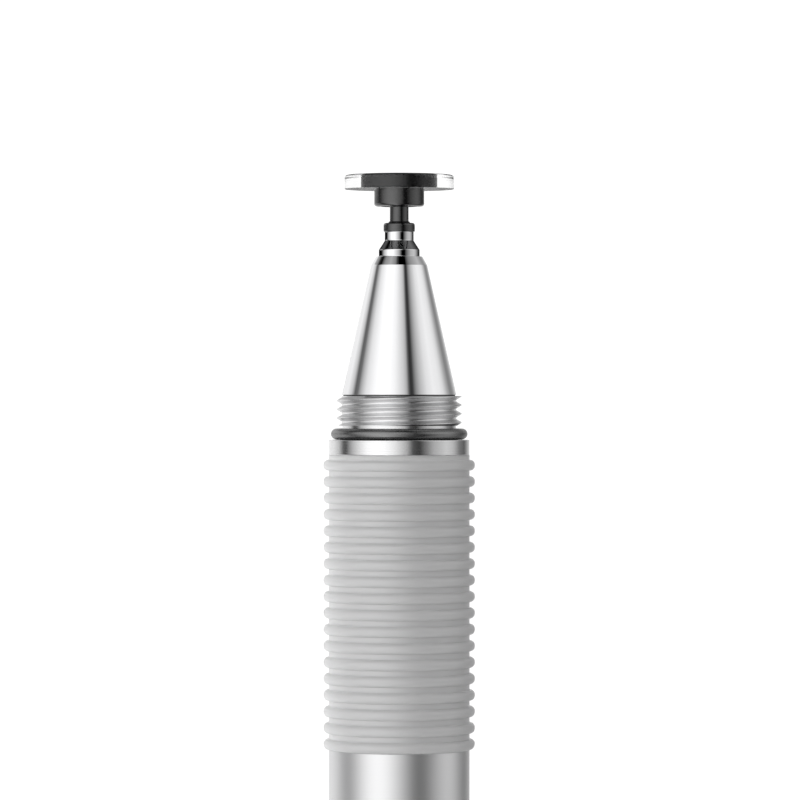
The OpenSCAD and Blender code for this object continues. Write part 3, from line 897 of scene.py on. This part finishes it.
class PEN_OT_cap(bpy.types.Operator):
    """Make the screw cap: its threaded shell, end plug and soft pad"""

    bl_idname = "pen.cap"
    bl_label = "Cap"
    bl_options = {"REGISTER", "UNDO"}

    def execute(self, context):
        size = context.scene.pen_sizes
        self.shell(size)
        self.end(size)
        self.pad(size)
        return {"FINISHED"}

    def shell(self, size):
        """The cap's tube with its inner thread."""
        outer_r, bore_r = size.barrel_d / 2, size.cap_bore_d / 2
        groove_r = size.thread_d / 2 + size.thread_gap
        mouth = high("cap_shell")
        collar = high("tail_o_ring") + size.seat_gap
        thread_low = mouth - size.cap_thread_len
        corners = [
            corner(bore_r, size.cap_flange, 0.02 * MM),
            corner(outer_r, size.cap_flange, 0.03 * MM),
            corner(outer_r, mouth, 0.05 * MM),
            corner(groove_r, mouth),
            corner(groove_r, thread_low),
            corner(bore_r, thread_low),
        ]
        shell = turn(corners, size.steps, ring=True)
        tip = size.thread_pitch / 2 - (groove_r - bore_r) * FLANK_SLOPE
        base = size.thread_pitch / 2 - 0.004 * MM
        section = [
            corner(groove_r + SUNK, -base),
            corner(bore_r, -tip, 0.01 * MM),
            corner(bore_r, tip, 0.01 * MM),
            corner(groove_r + SUNK, base),
        ]
        front_end = high("screw_neck") - low("front_o_ring") + size.seat_gap
        first = front_end - CREST_LEAD - 4.5 * size.thread_pitch
        ridge = screw_ridge(section, first, size.thread_pitch, 7, collar - mouth, collar - thread_low, 96)
        bm = joined(shell, at_tail(ridge, size))
        place_piece("cap_satin", bm, (satin_aluminium,), "cap", "cap_shell")

    def end(self, size):
        """The plug that closes the cap, with a shallow dished face."""
        outer_r = size.barrel_d / 2
        plug_r = size.cap_bore_d / 2 - FIT
        top = high("cap_end")
        corners = [
            corner(0, 0),
            corner(outer_r, 0, 0.25 * MM),
            corner(outer_r, size.cap_flange, 0.03 * MM),
            corner(plug_r, size.cap_flange),
            corner(plug_r, top, 0.06 * MM),
            corner(0, top),
        ]
        bm = turn(corners, size.steps)
        place_piece("cap_end_turned", bm, (turned_steel,), "cap", "cap_end")

    def pad(self, size):
        """The foam disc on the cap's floor."""
        outer_r = reach("cap_pad")
        corners = [
            corner(0, low("cap_pad")),
            corner(outer_r, low("cap_pad"), 0.06 * MM),
            corner(outer_r, high("cap_pad"), 0.12 * MM),
            corner(0, high("cap_pad")),
        ]
        bm = turn(corners, size.steps)
        pad = place_piece("pad_foam", bm, (pad_foam,), "cap", "cap_pad")


class PEN_OT_spring(bpy.types.Operator):
    """Wind the cushion spring under the plunger"""

    bl_idname = "pen.spring"
    bl_label = "Cushion spring"
    bl_options = {"REGISTER", "UNDO"}

    def execute(self, context):
        size = context.scene.pen_sizes
        wire_r = size.wire_d / 2
        foot, top = low("cushion_spring"), high("cushion_spring")
        middle_r = reach("cushion_spring") - wire_r
        per_turn = 40
        steps = round(size.spring_turns * per_turn)
        bm = round_section(middle_r, foot + wire_r, wire_r, segments=16)
        spin(bm, steps, size.spring_turns, (top - foot - size.wire_d) / steps)
        bmesh.ops.holes_fill(bm, edges=[e for e in bm.edges if e.is_boundary], sides=0)
        closed(bm)
        spring = place_piece("spring_coil", bm, (spring_steel,), "pen", "cushion_spring")
        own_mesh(spring)
        return {"FINISHED"}


class PEN_OT_inner(bpy.types.Operator):
    """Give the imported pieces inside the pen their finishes"""

    bl_idname = "pen.inner"
    bl_label = "Inner pieces"
    bl_options = {"REGISTER", "UNDO"}

    def execute(self, context):
        finishes = {
            "plunger": turned_brass,
            "spring_stop": turned_brass,
            "stem_clip": spring_steel,
            "magnet": nickel_plating,
            "magnet_carrier": white_plastic,
        }
        for node, build in finishes.items():
            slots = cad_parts[node].data.materials
            slots.clear()
            slots.append(finish(build))
        return {"FINISHED"}


# Studio

# Soft boxes and dark gaps level with the pen: degrees from the camera, positive to its right, and
# brightness
STUDIO_LEVEL = (
    (-180, 1.0), (-135, 0.88), (-118, 0.6), (-104, 0.06), (-97, 0.04), (-82, 0.52), (-54, 1.2),
    (-40, 1.3), (-24, 1.25), (-10, 1.05), (4, 0.7), (12, 0.5), (22, 0.07), (34, 0.02), (46, 0.22),
    (58, 0.46), (84, 0.7), (98, 0.58), (116, 0.2), (134, 0.1), (180, 1.0),
)
# The same lower down, where the barrel looks
STUDIO_LOW = (
    (-180, 1.0), (-130, 0.88), (-108, 0.72), (-93, 0.26), (-85, 0.12), (-73, 0.46), (-54, 1.08),
    (-40, 1.35), (-24, 1.33), (-11, 0.97), (2, 0.54), (14, 0.31), (26, 0.03), (44, 0.0), (54, 0.2),
    (65, 0.42), (86, 0.68), (100, 0.6), (116, 0.3), (134, 0.16), (180, 1.0),
)
# The same a little higher, between two dark flags, where the ferrule looks
STUDIO_NECK = (
    (-180, 0.0), (-118, 0.0), (-108, 0.15), (-96, 0.5), (-80, 0.8), (-66, 1.15), (-36, 1.15),
    (-24, 0.9), (0, 0.38), (12, 0.04), (16, 0.0), (32, 0.0), (68, 0.48), (90, 0.58), (102, 0.52),
    (132, 0.1), (180, 0.0),
)
# The same above them, where the cone's slope looks
STUDIO_WALLS = (
    (-180, 0.86), (-134, 0.95), (-116, 0.62), (-105, 0.12), (-97, 0.16), (-88, 0.47), (-75, 0.82),
    (-58, 1.03), (-36, 1.25), (-10, 1.0), (10, 0.64), (16, 0.46), (21, 0.12), (25, 0.03), (30, 0.05),
    (37, 0.27), (46, 0.5), (62, 0.8), (78, 0.94), (95, 0.88), (105, 0.76), (119, 0.42), (130, 0.24),
    (140, 0.28), (152, 0.42), (180, 0.86),
)
# The same for what stands high above the pen
STUDIO_CEILING = (
    (-180, 0.3), (-140, 0.45), (-126, 0.3), (-113, 0.02), (-100, 0.0), (-92, 0.12), (-82, 0.28),
    (-52, 0.44), (-24, 0.25), (-12, 0.05), (0, 0.0), (38, 0.0), (61, 0.25), (107, 0.5), (130, 0.3),
    (180, 0.3),
)
# A grey flag low behind the pen, which the disc's underside mirrors
STUDIO_BACK = ((-180, 0.22), (-166, 0.22), (-156, 1.4), (156, 1.4), (166, 0.22), (180, 0.22))


class PEN_OT_studio(bpy.types.Operator):
    """Set up the floor, the soft light and the camera"""

    bl_idname = "pen.studio"
    bl_label = "Studio"
    bl_options = {"REGISTER", "UNDO"}

    def execute(self, context):
        studio = context.scene.pen_studio
        self.floor(studio)
        self.surroundings(context, studio)
        self.lamps(context)
        self.camera(context, studio)
        context.scene.view_settings.view_transform = "Standard"
        return {"FINISHED"}

    def floor(self, studio):
        """A plain pale round floor that is clear from below; it glows with painted light, dimmer near the
        pen and brighter towards its rim, where it fades to white.
        """
        bm = bmesh.new()
        bmesh.ops.create_circle(bm, cap_ends=True, segments=128, radius=studio.floor_d / 2)
        mesh = bpy.data.meshes.new("studio_floor")
        bm.to_mesh(mesh)
        bm.free()
        floor = bpy.data.objects.new("studio_floor", mesh)
        bpy.context.scene.collection.objects.link(floor)
        made = Finish("pale_floor", studio.floor, 0.6)
        made.shader.inputs["Emission Color"].default_value = (*studio.floor, 1)
        # Painted light: the floor glows, dimmer near the pen and brighter out to its rim, so that it fades
        # into the white backdrop.
        glow = made.spread(made.radius(), 0.46, 0.9, 20 * MM, 280 * MM)
        made.tree.links.new(glow, made.shader.inputs["Emission Strength"])
        below = made.add("ShaderNodeNewGeometry").outputs["Backfacing"]
        above = made.add("ShaderNodeMath", {0: 1.0, 1: below}, operation="SUBTRACT").outputs[0]
        made.tree.links.new(above, made.shader.inputs["Alpha"])
        made.vary_colour(made.noise(40 * MM, 3.0), 0.985)
        mesh.materials.append(made.material)
        floor.visible_glossy = False
        floor.visible_diffuse = False

    def surroundings(self, context, studio):
        """Soft boxes and dark gaps all round, and plain white behind the pen for the camera."""
        world = bpy.data.worlds.new("studio_light")
        world.use_nodes = True
        tree = world.node_tree
        tree.nodes.clear()

        def add(kind, links=None, **settings):
            return add_node(tree, kind, links, **settings)

        way = add("ShaderNodeSeparateXYZ", {0: add("ShaderNodeTexCoord").outputs["Generated"]}).outputs
        toward = add("ShaderNodeMath", {0: way["Y"], 1: -1.0}, operation="MULTIPLY").outputs[0]
        around = add("ShaderNodeMath", {0: way["X"], 1: toward}, operation="ARCTAN2").outputs[0]
        links = {"Value": around, "From Min": -math.pi, "From Max": math.pi}
        share = add("ShaderNodeMapRange", links).outputs[0]
        lean = add("ShaderNodeMath", {0: toward, 1: -0.2}, operation="MULTIPLY").outputs[0]
        leaning = add("ShaderNodeMath", {0: way["Z"], 1: lean}, operation="ADD").outputs[0]

        def wall(stops):
            ramp = add("ShaderNodeValToRGB", {"Fac": share})
            elements = ramp.color_ramp.elements
            for degrees, _ in stops[1:-1]:
                elements.new((degrees + 180) / 360)
            for element, (_, level) in zip(elements, stops):
                element.color = (level, level, level, 1)
            return ramp.outputs["Color"]

        def stacked(lower, upper, start, end, height=way["Z"]):
            links = {"Value": height, "From Min": start, "From Max": end}
            share = add("ShaderNodeMapRange", links, interpolation_type="SMOOTHSTEP").outputs[0]
            return add("ShaderNodeMix", {"Factor": share, 6: lower, 7: upper}, data_type="RGBA").outputs[2]

        level = wall(STUDIO_LEVEL)
        links = {"Factor": 1.0, 6: level, 7: wall(STUDIO_BACK)}
        flagged = add("ShaderNodeMix", links, data_type="RGBA", blend_type="DARKEN").outputs[2]
        lit = wall(STUDIO_LOW)
        for upper, start, end in (
            (flagged, -0.065, -0.055),
            (level, -0.03, -0.02),
            (wall(STUDIO_NECK), 0.021, 0.025),
            (level, 0.0365, 0.04),
            (wall(STUDIO_WALLS), 0.05, 0.2),
        ):
            lit = stacked(lit, upper, start, end)
        lit = stacked(lit, wall(STUDIO_CEILING), 0.5, 0.57, leaning)
        path = add("ShaderNodeLightPath").outputs
        direct = add("ShaderNodeMath", {0: path["Glossy Depth"], 1: 0.5}, operation="LESS_THAN").outputs[0]
        boxes = add("ShaderNodeBackground", {"Color": lit, "Strength": studio.glow})
        white = add("ShaderNodeBackground", {"Color": (1, 1, 1, 1), "Strength": studio.backdrop})
        links = {0: path["Is Transmission Ray"], 1: direct}
        through = add("ShaderNodeMath", links, operation="MULTIPLY").outputs[0]
        clear = add("ShaderNodeMath", {0: path["Is Camera Ray"], 1: through}, operation="MAXIMUM")
        links = {0: clear.outputs[0], 1: boxes.outputs[0], 2: white.outputs[0]}
        seen = add("ShaderNodeMixShader", links)
        add("ShaderNodeOutputWorld", {"Surface": seen.outputs[0]})
        context.scene.world = world

    def lamps(self, context):
        """Three large soft lamps that light the floor and the matt pieces, and show in no mirror."""
        for name, spot, size, power in (
            ("soft_lamp_left", (-0.5, -0.22, 0.12), 0.4, 0.47),
            ("soft_lamp_right", (0.53, -0.14, 0.12), 0.4, 0.1),
            ("soft_lamp_back", (-0.41, 0.37, 0.12), 0.4, 1.3),
        ):
            data = bpy.data.lights.new(name, "AREA")
            data.shape = "DISK"
            data.size = size
            data.energy = power
            lamp = bpy.data.objects.new(name, data)
            lamp.location = spot
            aim = Vector((0, 0, 90 * MM)) - lamp.location
            lamp.rotation_euler = aim.to_track_quat("-Z", "Y").to_euler()
            lamp.visible_glossy = False
            lamp.visible_camera = False
            lamp.visible_transmission = False
            context.scene.collection.objects.link(lamp)

    def camera(self, context, studio):
        """A long lens, level with the thread."""
        data = bpy.data.cameras.new("photo_camera")
        data.lens = studio.lens
        data.sensor_width = 36.0
        data.clip_start = 0.01
        data.clip_end = 20.0
        camera = bpy.data.objects.new("photo_camera", data)
        camera.location = (studio.eye_side, -studio.eye_distance, studio.eye_height)
        camera.rotation_euler = (math.pi / 2, 0, 0)
        context.scene.collection.objects.link(camera)
        context.scene.camera = camera


OPERATORS = (
    PEN_OT_disc, PEN_OT_tip, PEN_OT_nose, PEN_OT_screw_ends, PEN_OT_rings, PEN_OT_grip,
    PEN_OT_barrel, PEN_OT_cap, PEN_OT_spring, PEN_OT_inner, PEN_OT_studio,
)


class PEN_PT_sidebar(bpy.types.Panel):
    """Lists the pen's pieces and the studio"""

    bl_label = "Stylus Pen"
    bl_space_type = "VIEW_3D"
    bl_region_type = "UI"
    bl_category = "Pen"

    def draw(self, context):
        column = self.layout.column()
        for operator in OPERATORS:
            column.operator(operator.bl_idname)
        for group in (context.scene.pen_sizes, context.scene.pen_finishes, context.scene.pen_studio):
            box = self.layout.box()
            for name in group.bl_rna.properties.keys():
                if name not in ("rna_type", "name"):
                    box.prop(group, name)


CLASSES = (PenSizes, PenFinishes, PenStudio, *OPERATORS, PEN_PT_sidebar)


def register():
    for cls in CLASSES:
        bpy.utils.register_class(cls)
    bpy.types.Scene.pen_sizes = PointerProperty(type=PenSizes)
    bpy.types.Scene.pen_finishes = PointerProperty(type=PenFinishes)
    bpy.types.Scene.pen_studio = PointerProperty(type=PenStudio)


def unregister():
    del bpy.types.Scene.pen_studio
    del bpy.types.Scene.pen_finishes
    del bpy.types.Scene.pen_sizes
    for cls in reversed(CLASSES):
        bpy.utils.unregister_class(cls)


def main():
    """Builds the whole pen and its studio."""
    register()
    bpy.ops.pen.disc()
    bpy.ops.pen.tip()
    bpy.ops.pen.nose()
    bpy.ops.pen.screw_ends()
    bpy.ops.pen.rings()
    bpy.ops.pen.grip()
    bpy.ops.pen.barrel()
    bpy.ops.pen.cap()
    bpy.ops.pen.spring()
    bpy.ops.pen.inner()
    bpy.ops.pen.studio()


if __name__ == "__main__":
    main()
